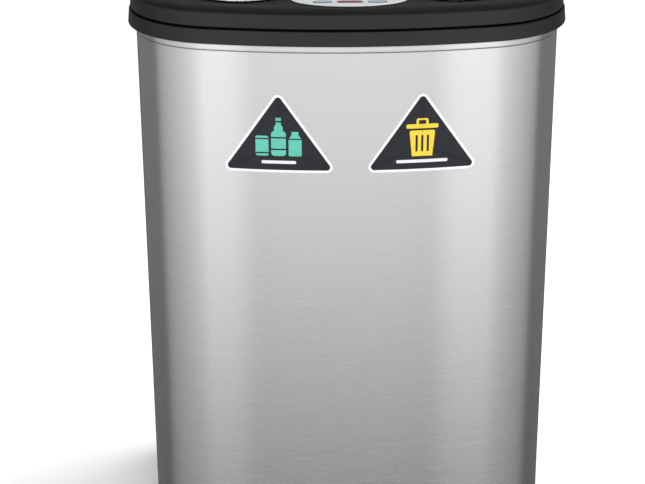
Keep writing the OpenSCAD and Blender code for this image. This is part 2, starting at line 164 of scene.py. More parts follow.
def inset(outline, distance):
    """The outline moved inwards along its own normals, for an outline that runs anticlockwise."""
    along = np.roll(outline, -1, 0) - np.roll(outline, 1, 0)
    along /= np.linalg.norm(along, axis=1)[:, None]
    return outline + distance * np.stack([-along[:, 1], along[:, 0]], 1)


def lid_outline(side=1.0):
    """A lid seen from above: half an ellipse for the nose, straight sides, and a back with small corners."""
    nose_b = 112 * MM
    nose_y = plate_low.y + nose_b
    back = plate_high.y
    small = 6 * MM
    angle = np.radians(np.linspace(180, 360, 72))
    nose = np.stack([LID_HALF * np.cos(angle), nose_y + nose_b * np.sin(angle)], 1)
    loop = np.concatenate([
        nose,
        line((LID_HALF, nose_y + 8 * MM), (LID_HALF, back - small), 8),
        arc((LID_HALF - small, back - small), small, 0, 90, 8),
        line((LID_HALF - small, back), (small - LID_HALF, back), 12),
        arc((small - LID_HALF, back - small), small, 90, 180, 8),
        line((-LID_HALF, back - small), (-LID_HALF, nose_y + 2 * MM), 8),
    ])
    return loop + np.array([side * LID_X, 0])


def ellipse(middle, half_x, half_y, count=96):
    """middle + (half_x cos, half_y sin)."""
    angle = np.linspace(0, 2 * np.pi, count, endpoint=False)
    return np.array(middle) + np.stack([half_x * np.cos(angle), half_y * np.sin(angle)], 1)


def pill(middle, width, depth):
    """A bar with half-round ends."""
    middle = np.array(middle)
    reach, radius = (width - depth) / 2, depth / 2
    return np.concatenate([arc(middle + (reach, 0), radius, -90, 90, 20),
                           arc(middle - (reach, 0), radius, 90, 270, 20)])


print("D outline", len(d_outline()), "points, lid outline", len(lid_outline()), "points")


# %% Grids to meshes
def ring_faces(rows, cols, close_rows=False):
    """Quads between rows of points, each row a closed loop; close_rows joins the last row to the first."""
    r = np.arange(rows if close_rows else rows - 1)[:, None]
    c = np.arange(cols)[None, :]
    here, up = r * cols, (r + 1) % rows * cols
    nxt = (c + 1) % cols
    quads = np.stack([here + c, here + nxt, up + nxt, up + c], -1)
    return quads.reshape(-1, 4).tolist()


class Surface:
    """Collects points and faces, and becomes one object."""

    def __init__(self):
        self.points, self.faces, self.count = [], [], 0

    def add(self, points, faces):
        self.points.append(np.asarray(points, float))
        self.faces += [[i + self.count for i in face] for face in faces]
        self.count += len(points)
        return self

    def rings(self, rows, close_rows=False):
        """rows is an array of loops, rows x columns x 3."""
        rows = np.asarray(rows)
        return self.add(rows.reshape(-1, 3), ring_faces(len(rows), rows.shape[1], close_rows))

    def cap(self, loop, middle):
        """A fan from a loop to one middle point."""
        n = len(loop)
        points = np.concatenate([loop, [middle]])
        return self.add(points, [[i, (i + 1) % n, n] for i in range(n)])

    def flat(self, loops, z):
        """A flat face at height z, bounded by the first loop, with the other loops as holes."""
        loops = [np.asarray(loop) for loop in loops]
        fill = tessellate_polygon([[Vector((x, y, 0)) for x, y in loop] for loop in loops])
        points = np.concatenate(loops)
        return self.add(np.column_stack([points, np.full(len(points), z)]), [list(t) for t in fill])

    def build(self, name, place=None, merge=1e-6):
        """One object at the origin. place, if given, maps the points, for example onto a curved wall."""
        points = np.concatenate(self.points)
        points = place(points) if place else points
        mesh = bpy.data.meshes.new(name)
        mesh.from_pydata(points.tolist(), [], self.faces)
        work = bmesh.new()
        work.from_mesh(mesh)
        bmesh.ops.remove_doubles(work, verts=work.verts, dist=merge)
        bmesh.ops.recalc_face_normals(work, faces=work.faces)
        work.to_mesh(mesh)
        work.free()
        mesh.shade_smooth()
        piece = bpy.data.objects.new(name, mesh)
        scene.collection.objects.link(piece)
        piece.modifiers.new("even normals", "WEIGHTED_NORMAL").keep_sharp = True
        print(name, len(mesh.polygons), "faces")
        return piece


def bend(profile, radius, steps=5):
    """A closed profile of (off, z) points with its corners rounded by at most radius."""
    return rounded(profile, radius, steps)


def swept(profile, outline=d_outline):
    """Carries a profile of (off, z) points round an outline that grows by off."""
    return np.array([np.column_stack([outline(off), np.full(len(outline(off)), z)]) for off, z in profile])


def loop_rows(outline, rows):
    """Copies of an outline, each (inset, z)."""
    return np.array([np.column_stack([inset(outline, d), np.full(len(outline), z)]) for d, z in rows])


def quarter(start, radius_in, radius_up, steps=6):
    """Rows (inset, z) of a quarter ellipse that starts upright at start and ends flat, radius_up higher."""
    t = np.linspace(0, np.pi / 2, steps)
    return [(start[0] + radius_in * (1 - np.cos(a)), start[1] + radius_up * np.sin(a)) for a in t]


def domed(surface, outline, rows, middle, crown, steps=8):
    """Rim rows, and then a shallow dome that rises by crown to the middle: z = top + crown (1 - s^2)."""
    rim = loop_rows(outline, rows)
    edge = rim[-1]
    share = np.linspace(1, 0, steps + 1)[1:-1, None, None]
    target = np.array([middle[0], middle[1], 0.0])
    dome = (edge - target) * share + target
    dome[..., 2] = edge[0, 2] + crown * (1 - share[..., 0] ** 2)
    everything = np.concatenate([rim, dome])
    surface.rings(everything)
    surface.cap(everything[-1], [middle[0], middle[1], edge[0, 2] + crown])
    return everything


def mount(piece, body, slot, material, *replaced):
    """Gives a piece its finish, its body and the CAD nodes it stands for."""
    piece.data.materials.clear()
    piece.data.materials.append(material)
    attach(piece, body)
    if replaced:
        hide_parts(*replaced)
    return piece


# %% [markdown]
# ## Writing materials as sums
# Shader maths is easier to read as arithmetic. A Wire wraps one socket, and an expression on wires adds
# the Math nodes. Every other node comes from one method, Nodes.node.


# %% Materials as expressions
class Wire:
    """One socket of a node tree. Arithmetic on wires adds Math nodes.

    a & b is the larger of two and a | b the smaller. On distances they cut and join shapes. On masks,
    & keeps whatever either of them shows.
    """

    def __init__(self, tree, socket):
        self.tree, self.socket = tree, socket

    def math(self, operation, *others):
        node = self.tree.nodes.new("ShaderNodeMath")
        node.operation = operation
        for slot, value in zip(node.inputs, others):
            connect(self.tree, slot, value)
        return Wire(self.tree, node.outputs[0])

    def __add__(self, other):
        return self.math("ADD", self, other)

    def __sub__(self, other):
        return self.math("SUBTRACT", self, other)

    def __rsub__(self, other):
        return self.math("SUBTRACT", other, self)

    def __mul__(self, other):
        return self.math("MULTIPLY", self, other)

    def __truediv__(self, other):
        return self.math("DIVIDE", self, other)

    def __pow__(self, other):
        return self.math("POWER", self, other)

    def __abs__(self):
        return self.math("ABSOLUTE", self)

    def __and__(self, other):
        return self.math("MAXIMUM", self, other)

    def __or__(self, other):
        return self.math("MINIMUM", self, other)

    def of(self, operation):
        """A function of this wire alone, such as SINE or FRACT."""
        return self.math(operation, self)

    def clip(self, low=0.0, high=1.0):
        return self.math("MINIMUM", self.math("MAXIMUM", self, low), high)

    __radd__ = __add__
    __rmul__ = __mul__


def connect(tree, slot, value):
    """A wire is linked, and a number or a colour is set."""
    if isinstance(value, Wire):
        tree.links.new(value.socket, slot)
    elif isinstance(value, (tuple, list)) and slot.type == "RGBA":
        slot.default_value = (*value, 1)
    else:
        slot.default_value = value


def set_stops(elements, stops):
    """A new ramp has two stops. The rest are added, and then each gets its place and its grey."""
    for _ in stops[2:]:
        elements.new(0.5)
    for element, (place, grey) in zip(elements, stops):
        element.position = place
        element.color = (grey, grey, grey, 1)


class Nodes:
    """A material's node tree."""

    def __init__(self, name):
        self.material = bpy.data.materials.new(name)
        self.material.use_nodes = True
        self.tree = self.material.node_tree

    def node(self, kind, settings=None, inputs=None, output=0):
        """Any node: its type, its settings, and then the values or links of its sockets."""
        node = self.tree.nodes.new("ShaderNode" + kind)
        for name, value in (settings or {}).items():
            if name == "stops":
                set_stops(node.color_ramp.elements, value)
            else:
                setattr(node, name, value)
        for name, value in (inputs or {}).items():
            connect(self.tree, node.inputs[name], value)
        return Wire(self.tree, node.outputs[output])

    def place(self, size=(1, 1, 1), move=(0, 0, 0)):
        """Object coordinates in metres, moved and then multiplied."""
        here = self.node("TexCoord", output="Object")
        moved = self.node("VectorMath", {"operation": "SUBTRACT"}, {0: here, 1: move})
        return self.node("VectorMath", {"operation": "MULTIPLY"}, {0: moved, 1: size})

    def axes(self, move=(0, 0, 0)):
        """x, y and z of the place, in millimetres, as three wires."""
        split = self.node("SeparateXYZ", {}, {0: self.place((1 / MM, 1 / MM, 1 / MM), move)}).socket.node
        return [Wire(self.tree, output) for output in split.outputs]

    def noise(self, scale, detail=3.0, rough=0.5, size=(1, 1, 1)):
        return self.node("TexNoise", {}, {"Vector": self.place(size), "Scale": scale, "Detail": detail,
                                          "Roughness": rough})

    def mix(self, share, low, high):
        """low where share is 0, high where it is 1."""
        return self.node("Mix", {"data_type": "RGBA"}, {0: share, 6: low, 7: high}, 2)


class Finish(Nodes):
    """One finish: a Principled shader whose inputs take numbers, colours or wires."""

    def __init__(self, name, **inputs):
        super().__init__(name)
        self.shader = self.tree.nodes["Principled BSDF"]
        self.set(**inputs)

    def set(self, **inputs):
        for name, value in inputs.items():
            label = name.replace("_", " ").title().replace("Ior", "IOR")
            connect(self.tree, self.shader.inputs[label], value)
        return self

    def bump(self, height, strength, distance):
        bump = self.node("Bump", {}, {"Height": height, "Strength": strength, "Distance": distance})
        return self.set(normal=bump)


def moulded(name, colour, roughness, grain=1400, depth=0.03 * MM, shine=0.5):
    """Moulded plastic: a fine spark-eroded grain, and a faint unevenness in its sheen."""
    finish = Finish(name)
    coarse = finish.noise(18, 2)
    finish.set(base_color=finish.mix(coarse, colour, tuple(1.4 * c for c in colour)),
               specular_ior_level=shine,
               roughness=coarse * 0.12 + (roughness - 0.06))
    return finish.bump(finish.noise(grain, 2), 0.6, depth)


print("Wire, Nodes and Finish are ready")

# %% [markdown]
# ## Brushed steel
# The sleeve's sheet is ground with a belt that runs round the body, so its scratches are level and long.
# They scatter light up and down but hardly sideways, so a bright strip beside the bin shows as a crisp
# upright band. The anisotropic lobe, turned a quarter, gives that. Two noises that are stretched level
# make the lines that can be seen. The sleeve's own steel also has the cut edge and the welds of its
# seam. Painted shade darkens its colour in the corner under the collar and in the groove below the band.


# %% Steel
def brushed(name, colour, roughness, anisotropy, level, fine, sleeve=False):
    """Metal with lines: two stretched noises set the tone, the roughness and a faint relief."""
    finish = Finish(name, metallic=1.0, anisotropic=anisotropy, anisotropic_rotation=0.25)
    lines = finish.noise(1, 4, 0.6, level)
    hair = finish.noise(1, 2, 0.5, fine)
    tone = lines * 0.55 + hair * 0.45
    dark = tuple(c * 0.80 for c in colour)
    light = tuple(min(1.0, c * 1.14) for c in colour)
    ground = finish.mix(tone, dark, light)
    if sleeve:
        # dark at the seam's cut edge and welds, which are real, and painted shade under the collar and in the
        # groove below the band
        ground = finish.mix(lap_seam(finish) & painted_hem_shade(finish), ground, (0.14, 0.137, 0.134))
    finish.set(base_color=ground, roughness=tone * 0.10 + finish.noise(3, 2) * 0.03 + (roughness - 0.065))
    return finish.bump(tone, 0.15, 0.03 * MM)


def lap_seam(finish):
    """The sheet's cut edge down the middle of the back, and a row of spot welds beside it, 40 mm apart."""
    x, y, z = finish.axes()
    edge = (1 - abs(x - 8) * 1.6).clip()
    pitch = 40
    step = (z / pitch).of("FRACT") * pitch - pitch / 2
    weld = (1 - abs((x * x + step * step) ** 0.5 - 2.6)).clip() * 0.6
    return (edge & weld) * (y - 100).clip()


def painted_hem_shade(finish):
    """Painted shade: the steel is darkened in the corner under the collar and in the groove below the band.
    """
    _, _, up = finish.axes((0, 0, BAND_LOW))
    # painted shade in the corner under the collar
    corner = ((up - (BAND_H / MM - 3)) / 3.2).clip() * 0.8
    # painted shade along the groove under the band
    groove = (1.15 - abs(up + 0.3)).clip() * 0.75
    return corner & groove


steel = brushed("brushed_steel", (0.72, 0.716, 0.706), 0.27, 0.92,
                (12, 12, 700), (35, 35, 2600), sleeve=True).material
lid_steel = brushed("lid_steel", (0.82, 0.82, 0.815), 0.24, 0.6, (700, 12, 12), (2600, 35, 35)).material
black = moulded("black_plastic", (0.0048, 0.0048, 0.005), 0.42, shine=0.42).material
tray_black = moulded("tray_plastic", (0.014, 0.014, 0.0145), 0.5).material
grey_plastic = moulded("bucket_plastic", (0.10, 0.105, 0.11), 0.5, 900).material
dark_plastic = moulded("dark_plastic", (0.03, 0.03, 0.033), 0.5).material
print("steel and plastics made")

# %% [markdown]
# ## The steel sleeve
# The real sleeve is one sheet, rolled to a D and closed with a lap seam down the middle of the back. Its
# top edge is stiffened by a rolled band just under the collar. A curve with a bevel could make it too,
# but a profile carried round the outline keeps the corners true arcs and the band's edges where they are
# set.

# %% Body sleeve
band_low = BAND_LOW
band_top = BAND_LOW + BAND_H
upright = np.linspace(shell_low.z, band_low - 1.2 * MM, 24)
sleeve_profile = [(0, z) for z in upright]
sleeve_profile += [(-0.4 * MM, band_low - 0.7 * MM), (-0.4 * MM, band_low),
                   (BEAD - 0.3 * MM, band_low + 0.2 * MM), (BEAD, band_low + 1 * MM),
                   (BEAD, band_low + 2.5 * MM), (BEAD, band_top - 1.2 * MM), (0.4 * MM, band_top),
                   (0, band_top + 0.6 * MM), (0, shell_high.z)]
sleeve_profile += [(-SHEET, shell_high.z), (-SHEET, shell_low.z)]
sleeve = Surface().rings(swept(sleeve_profile), close_rows=True).build("body_sleeve")
mount(sleeve, "bin_body", "brushed_steel", steel, "body_shell")

# %% [markdown]
# ## The collar
# The collar is a deep moulded ring that hides the sleeve's cut edge. Its face leans in a little and its
# edges are rounded, so a thin line of light runs round it. The same outline function carries its
# profile, which keeps the gap to the steel even all the way round.

# %% Collar
face_low = collar_low.z + 4 * MM
collar_profile = bend([
    (COLLAR_OUT, face_low), (COLLAR_OUT - 1.6 * MM, collar_high.z), (-12 * MM, collar_high.z),
    (-12 * MM, collar_high.z - 4 * MM), (-4 * MM, collar_high.z - 4 * MM), (-4 * MM, collar_low.z),
    (-1.1 * MM, collar_low.z), (-1.1 * MM, collar_high.z - 4 * MM),
    (COLLAR_OUT - WALL, collar_high.z - 4 * MM), (COLLAR_OUT - WALL, face_low)], 1.0 * MM)
collar = Surface().rings(swept(collar_profile), close_rows=True).build("collar")
mount(collar, "bin_body", "black_plastic", black, "collar_ring")

# %% [markdown]
# ## The base tray
# A shallow tray closes the bottom of the sleeve. Only its outer lip shows, so the lip is a full profile
# and the floor is two flat faces.

# %% Base tray
lip_z = tray_low.z + 18 * MM
tray_profile = bend([(3 * MM, tray_low.z), (3 * MM, lip_z), (0.3 * MM, lip_z), (0.3 * MM, shell_low.z),
                     (-1.1 * MM, shell_low.z), (-1.1 * MM, tray_high.z), (-4.1 * MM, tray_high.z),
                     (-4.1 * MM, shell_low.z), (-6 * MM, shell_low.z), (-6 * MM, tray_low.z)], 0.6 * MM, 4)
tray = Surface()
tray_rows = swept(tray_profile)
tray.rings(tray_rows, close_rows=True)
tray.flat([d_outline(-5.5 * MM)], shell_low.z - 0.2 * MM)
tray.flat([d_outline(-5.5 * MM)], tray_low.z + 0.2 * MM)
tray = tray.build("base_tray_skin")
mount(tray, "bin_body", "black_plastic", tray_black, "base_tray")

# %% [markdown]
# ## The head's skin
# The head cover is one moulding: an upright skirt, a soft shoulder, and a flat deck with an opening
# under each lid, one under the panel and one under the rear housing. The deck's flat face is cut from
# its outline with the openings as holes, and each opening's rim is a small round carried along it.

# %% Head skin
SHOULDER_IN, SHOULDER_UP = 14 * MM, 7 * MM
skirt_z = cover_low.z
LAP = 8 * MM
ROUND = 1.2 * MM
HOLE_SIDE, HOLE_FRONT, HOLE_BACK = 228 * MM, 97 * MM, 138 * MM
POD_HOLE_SIDE, POD_HOLE_FRONT = 33 * MM, 66 * MM


def opening(loop, z_top, z_low, surface):
    """The rim of a hole: a small round from the top face into an upright wall. Returns the top loop."""
    rows = [(-ROUND * (1 - np.sin(a)), z_top - ROUND * (1 - np.cos(a))) for a in np.linspace(0, np.pi / 2, 5)]
    rows.append((0, z_low))
    surface.rings(loop_rows(loop, rows))
    return inset(loop, -ROUND)


skin = Surface()
edge = [(SKIRT_OUT - WALL, DECK_Z - WALL - 3 * MM), (SKIRT_OUT - WALL, skirt_z),
        (SKIRT_OUT - 0.8 * MM, skirt_z), (SKIRT_OUT - 0.2 * MM, skirt_z + 0.2 * MM),
        (SKIRT_OUT, skirt_z + 0.8 * MM), (SKIRT_OUT, skirt_z + 4 * MM)]
edge += [(SKIRT_OUT - d, z) for d, z in quarter((0, DECK_Z - SHOULDER_UP), SHOULDER_IN, SHOULDER_UP, 10)]
skin.rings(swept([(SKIRT_OUT - SHOULDER_IN - WALL, DECK_Z - WALL)] + edge))
house_hole = rounded([(-HOLE_SIDE, HOLE_FRONT), (-POD_HOLE_SIDE, HOLE_FRONT),
                      (-POD_HOLE_SIDE, POD_HOLE_FRONT), (POD_HOLE_SIDE, POD_HOLE_FRONT),
                      (POD_HOLE_SIDE, HOLE_FRONT), (HOLE_SIDE, HOLE_FRONT),
                      (HOLE_SIDE, HOLE_BACK), (-HOLE_SIDE, HOLE_BACK)], 2 * MM, 3)
panel_mid = ((panel_low.x + panel_high.x) / 2, (panel_low.y + panel_high.y) / 2)
panel_half = ((panel_high.x - panel_low.x) / 2, (panel_high.y - panel_low.y) / 2)
well = ellipse(panel_mid, panel_half[0] - 8 * MM, panel_half[1] - 8 * MM, 72)


def lid_opening(side):
    """The lid's outline drawn in by the lap."""
    return inset(lid_outline(side), LAP)


holes = [lid_opening(-1), lid_opening(1), well, house_hole]
tops = [opening(hole, DECK_Z, DECK_Z - WALL, skin) for hole in holes]
skin.flat([d_outline(SKIRT_OUT - SHOULDER_IN)] + tops, DECK_Z)
skin.flat([d_outline(SKIRT_OUT - SHOULDER_IN - WALL)] + holes, DECK_Z - WALL)
skin = skin.build("head_skin")
mount(skin, "head", "black_plastic", black, "head_cover")

# %% [markdown]
# ## The rear housing
# Behind the lids a raised housing holds the cells, the motors and the gearboxes. A pod reaches forward
# between the lids to meet the drive shafts. Its top has the battery opening.

# %% Rear housing
house_front = HINGE_Y + 12 * MM
house_back = HALF_D - 2 * MM
house_side = HALF_W - 2 * MM
pod_front = HINGE_Y - 18 * MM
pod_side = 38 * MM
back_corner, front_corner, inner_corner = 43 * MM, 9 * MM, 5 * MM
top_round = 7 * MM
foot_z = DECK_Z - 2 * MM
half_radii = [back_corner, front_corner, inner_corner, front_corner]
house_loop = rounded([(-house_side, house_back), (-house_side, house_front), (-pod_side, house_front),
                      (-pod_side, pod_front), (pod_side, pod_front), (pod_side, house_front),
                      (house_side, house_front), (house_side, house_back)],
                     half_radii + half_radii[::-1], 14)
house = Surface()
house_rows = [(0, foot_z), (0, DECK_Z + 6 * MM)]
house_rows += quarter((0, HOUSE_Z - top_round), top_round, top_round, 9)
house.rings(loop_rows(house_loop, house_rows))
DOOR_Y = HALF_D - 12 * MM
door_side = door_high.x - 7.2 * MM
door_back = DOOR_Y - 4 * MM
door_hole = rounded([(-door_side, door_low.y + 3 * MM), (door_side, door_low.y + 3 * MM),
                     (door_side, door_back), (-door_side, door_back)], 3 * MM, 5)
door_top = opening(door_hole, HOUSE_Z, HOUSE_Z - WALL, house)
house.flat([inset(house_loop, top_round), door_top], HOUSE_Z)
house.flat([inset(house_loop, top_round), door_hole], HOUSE_Z - WALL)
house.rings(loop_rows(house_loop, [(top_round, HOUSE_Z - WALL), (WALL, HOUSE_Z - 2 * WALL),
                                   (WALL, foot_z), (0, foot_z)]))
house = house.build("rear_housing")
mount(house, "head", "black_plastic", black, "head_cover")

# %% [markdown]
# ## Hinge lugs
# Two tabs stand on the deck, outside the lids, and hold the outer hinge pins. Two small ones on the
# housing hold the battery door's pins. A block with a cylinder joined on would need a boolean. One
# outline carried sideways, with its edges drawn in, gives the round top and soft edges at once.


# %% Hinge lugs
def lug(surface, y, axis_z, radius, base_z, x_in, x_out, side):
    """An upright tab with a half-round top round the axis at (y, axis_z), from x_in to x_out."""
    outline = np.concatenate([line((y - radius, base_z), (y + radius, base_z), 4),
                              arc((y, axis_z), radius, 0, 180, 18), [(y - radius, axis_z)]])
    soft = 0.12 * (x_out - x_in)
    rows = loop_rows(outline, [(soft, x_in), (0.3 * soft, x_in + 0.3 * soft), (0, x_in + soft),
                               (0, x_out - soft), (0.3 * soft, x_out - 0.3 * soft), (soft, x_out)])
    rows = rows[..., [2, 0, 1]] * (side, 1, 1)
    surface.rings(rows)
    surface.cap(rows[0], rows[0].mean(0))
    surface.cap(rows[-1], rows[-1].mean(0))


lugs = Surface()
for side in (-1, 1):
    lug(lugs, HINGE_Y, HINGE_Z, 6 * MM, DECK_Z - 1 * MM, LID_X + LID_HALF + 1.5 * MM,
        pin_high.x - 0.3 * MM, side)
    lug(lugs, DOOR_Y, HOUSE_Z + 2.5 * MM, 2.2 * MM, HOUSE_Z - 1 * MM, door_high.x - 3 * MM,
        door_high.x + 1.5 * MM, side)
mount(lugs.build("hinge_lugs"), "head", "black_plastic", black, "head_cover")

# %% [markdown]
# ## The lids
# Each lid is a thin pressed plate over a black frame. The plate has a soft dome, a tight rolled edge and
# a short upright lip, and the lip's front is what catches the light. Rows that shrink to the middle
# give the dome, because a subdivided plate would round off the lip as well.

# %% Lid plates
LIP_IN, CROWN = 2.8 * MM, 2.2 * MM
for side, name in ((-1, "left"), (1, "right")):
    outline = lid_outline(side)
    lid = Surface()
    middle = (side * LID_X, (plate_low.y + plate_high.y) / 2 - 5 * MM)
    top_z = plate_high.z
    foot_z = plate_low.z + 0.4 * MM
    rim = [(SHEET, plate_low.z), (0, plate_low.z)] + quarter((0, foot_z), LIP_IN, top_z - foot_z, 9)
    rim += [(6 * MM, top_z + 0.35 * MM)]
    domed(lid, outline, rim, middle, CROWN, 14)
    under = [(SHEET, plate_low.z)] + quarter((SHEET, foot_z), LIP_IN, top_z - foot_z - SHEET, 9)
    domed(lid, outline, under, middle, CROWN, 14)
    piece = lid.build(f"lid_skin_{name}")
    mount(piece, f"lid_{name}", "lid_steel", lid_steel, f"lid_plate_{name}")

# %% [markdown]
# ## The labels
# Two vinyl labels are stuck on the curved front. Each is a rounded triangle that bends with the steel: its
# points are laid out flat, and then moved onto a cylinder. The white border and the dark ground are two
# rings of the same mesh. The printed marks are plain pictures of this script's own, a bottle between a
# can and a carton, and a lidded bin, over a plain bar where wording could be.

# %% Shapes for printing
label_low, label_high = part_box("label_right")
LABEL_X = (label_low.x + label_high.x) / 2
LABEL_HALF = (label_high.x - label_low.x) / 2
LABEL_Z = label_low.z
LABEL_H = label_high.z - label_low.z
BORDER = 3 * MM
VINYL = 0.35 * MM
EDGE_MM = 0.25
print("label middle", LABEL_X, "foot", LABEL_Z, "half width", LABEL_HALF, "height", LABEL_H)


def inside(distance):
    """1 where a distance in millimetres is negative, 0 where it is positive, with a soft edge."""
    return (0.5 - distance * (1 / EDGE_MM)).clip()


def box_at(u, v, middle, half, radius):
    """Distance from a rounded box: the length of the part of |p - middle| - half that is positive."""
    across = abs(u - middle[0]) - (half[0] - radius)
    up = abs(v - middle[1]) - (half[1] - radius)
    return (across.math("MAXIMUM", across, 0) ** 2 + up.math("MAXIMUM", up, 0) ** 2) ** 0.5 - radius


def bottle_can_carton(u, v):
    """A bottle in the middle, a can at its left and a carton at its right."""
    neck = box_at(u, v, (0, 50), (5, 8), 4.5) | box_at(u, v, (0, 60), (3, 6), 0.8)
    bottle = box_at(u, v, (0, 35), (8.5, 15), 4) | neck
    bottle = bottle & (0.9 - abs(v - 61.2)) & (0.9 - abs(v - 42)) & (0.9 - abs(v - 28))
    can = (box_at(u, v, (-19, 32), (7.5, 12), 2.5)) & (0.8 - abs(v - 40.5)) & (0.8 - abs(v - 23.5))
    gable = (abs(u - 19) + (v - 40) * 0.6 - 7.5) & (abs(v - 43) - 3)
    carton = box_at(u, v, (19, 30.2), (7.5, 10.2), 1) | gable | box_at(u, v, (19, 47.6), (4, 1.8), 0.6)
    return bottle | can | (carton & (0.7 - abs(v - 40.4)))


def lidded_bin(u, v):
    """A bin with a lid and a handle, and three dark bars."""
    body = box_at(u, v, (0, 34), (15, 15.5), 3) & (abs(u) - (12 + (v - 20) * 0.1))
    bars = box_at(abs(u), v, (6.5, 34), (1.3, 10), 1.2) | box_at(u, v, (0, 34), (1.3, 10), 1.2)
    lid = box_at(u, v, (0, 54.5), (18.5, 2.6), 1.8)
    grip = box_at(u, v, (0, 59.5), (7, 4.4), 2.5) & (0 - box_at(u, v, (0, 57.5), (4.2, 4.2), 1.0))
    return (body & (0 - bars)) | lid | grip


# %% Label finishes
def printed(name, colour, picture, bar_half, side):
    """The dark ground with a coloured picture and a white bar, under a clear, slightly uneven skin."""
    finish = Finish(name, roughness=0.4, specular_ior_level=0.25, coat_weight=0.08, coat_roughness=0.25)
    u, _, v = finish.axes((side * LABEL_X, 0, LABEL_Z))
    ground = finish.mix(finish.noise(60, 4), (0.009, 0.0095, 0.015), (0.017, 0.018, 0.025))
    print_ = finish.mix(inside(picture(u, v)), ground, colour)
    bar = box_at(u, v, (0, 12.5), (bar_half, 1.9), 1.9)
    finish.set(base_color=finish.mix(inside(bar), print_, (0.78, 0.78, 0.80)))
    return finish.bump(finish.noise(420, 2), 0.1, 0.03 * MM).material


white = Finish("label_border", roughness=0.36, coat_weight=0.3, coat_roughness=0.2)
white.set(base_color=white.mix(white.noise(80, 3), (0.80, 0.81, 0.84), (0.90, 0.91, 0.93)))
white.bump(white.noise(420, 2), 0.1, 0.03 * MM)


def onto_front(points):
    """Moves points (x, depth, z) to the curved front: y = arc_y - sqrt((R + depth)^2 - x^2)."""
    x, depth, z = points.T
    return np.column_stack([x, ARC_Y - np.sqrt((FRONT_R + depth) ** 2 - x**2), z])


print("label finishes are ready")

# %% Labels
for side, name, colour, picture, bar in ((-1, "left", (0.115, 0.54, 0.42), bottle_can_carton, 20),
                                         (1, "right", (0.83, 0.62, 0.045), lidded_bin, 30)):
    centre = side * LABEL_X
    corners = [(centre - LABEL_HALF - 6 * MM, LABEL_Z), (centre + LABEL_HALF + 6 * MM, LABEL_Z),
               (centre, LABEL_Z + LABEL_H + 5.2 * MM)]
    edge = rounded(corners, 7 * MM, 12)
    edge = np.concatenate([line(a, b, 6) for a, b in zip(edge, np.roll(edge, -1, 0))])
    rows = loop_rows(edge, [(0, 0.05 * MM), (0, 0.3 * MM), (0.1 * MM, VINYL), (1.5 * MM, VINYL),
                            (BORDER, VINYL)])[..., [0, 2, 1]]
    heart = np.array([centre, VINYL, LABEL_Z + LABEL_H * 0.36])
    shrink = np.linspace(1, 0, 12)[1:-1, None, None]
    rows = np.concatenate([rows, (rows[-1] - heart) * shrink + heart])
    label = Surface().rings(rows)
    label.cap(rows[-1], heart)
    label = label.build(f"label_print_{name}", onto_front)
    border = np.zeros(len(label.data.polygons), int)
    border[:4 * len(edge)] = 1
    ground = printed(f"label_{name}", colour, picture, bar, side)
    mount(label, "bin_body", "label_print", ground, f"label_{name}")
    label.data.materials.append(white.material)
    label.data.polygons.foreach_set("material_index", border)

# %% [markdown]
# ## Panel, buttons and window
# The silver panel is a lacquered oval with a soft rim. Each button is a blue-grey bar with round ends and
# a shallow dome in a dark surround, and between them lies a dark red window for the sensor. The face is
# filled from its outline and its wells, so it needs no boolean cut and each well keeps a clean round.

# %% Control panel
button_low, button_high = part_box("button_right")
BUTTON_X = (button_low.x + button_high.x) / 2
BUTTON_Y = (window_low.y + window_high.y) / 2
WINDOW_W, WINDOW_D = window_high.x - window_low.x, window_high.y - window_low.y
BUTTON_W, BUTTON_D = 21 * MM, 11 * MM
GAP = 0.3 * MM
silver = Finish("panel_silver", metallic=0.3, roughness=0.32, coat_weight=0.4, coat_roughness=0.12)
# Painted shade: the panel's side wall, below the top of its rim, is coloured near black as the shadow line
# round the oval.
_, _, above = silver.axes((0, 0, panel_high.z - 0.9 * MM))
lacquer = silver.mix(silver.noise(2200, 2), (0.52, 0.53, 0.54), (0.64, 0.65, 0.66))
silver.set(base_color=silver.mix((above * -3).clip(), lacquer, (0.012, 0.012, 0.013)))
silver.bump(silver.noise(900, 2), 0.1, 0.02 * MM)

panel = Surface()
oval = ellipse(panel_mid, *panel_half)
panel_top = panel_high.z
rim_in, rim_up = 2 * MM, 1.2 * MM
panel.rings(loop_rows(oval, [(0, DECK_Z)] + quarter((0, panel_top - rim_up), rim_in, rim_up)))
wells = [pill((s * BUTTON_X, BUTTON_Y), BUTTON_W + 2 * GAP, BUTTON_D + 2 * GAP) for s in (-1, 1)]
wells.append(pill((0, BUTTON_Y), WINDOW_W + 2 * GAP, WINDOW_D + 2 * GAP))
panel_holes = []
edge_round = 0.4 * MM
for hole in wells:
    lip = loop_rows(hole, [(-edge_round, panel_top), (-0.1 * MM, panel_top - 0.1 * MM),
                           (0, panel_top - edge_round), (0, DECK_Z - 2 * MM)])
    panel.rings(lip)
    panel_holes.append(inset(hole, -edge_round))
panel.flat([inset(oval, rim_in)] + panel_holes, panel_top)
mount(panel.build("control_panel_face"), "head", "panel_silver", silver.material, "control_panel")

# %% Buttons and window
blue = Finish("button_blue", roughness=0.3, coat_weight=0.5, coat_roughness=0.12)
blue.set(base_color=blue.mix(blue.noise(240, 3), (0.17, 0.22, 0.26), (0.25, 0.31, 0.36)))
blue.bump(blue.noise(1500, 2), 0.15, 0.02 * MM)
ring_dark = moulded("button_surround", (0.035, 0.04, 0.045), 0.35)
red = Finish("window_red", roughness=0.16, coat_weight=0.8, coat_roughness=0.05)
red.set(base_color=red.mix(red.noise(90, 3), (0.10, 0.010, 0.012), (0.17, 0.016, 0.018)))
red.bump(red.noise(500, 1), 0.05, 0.01 * MM)


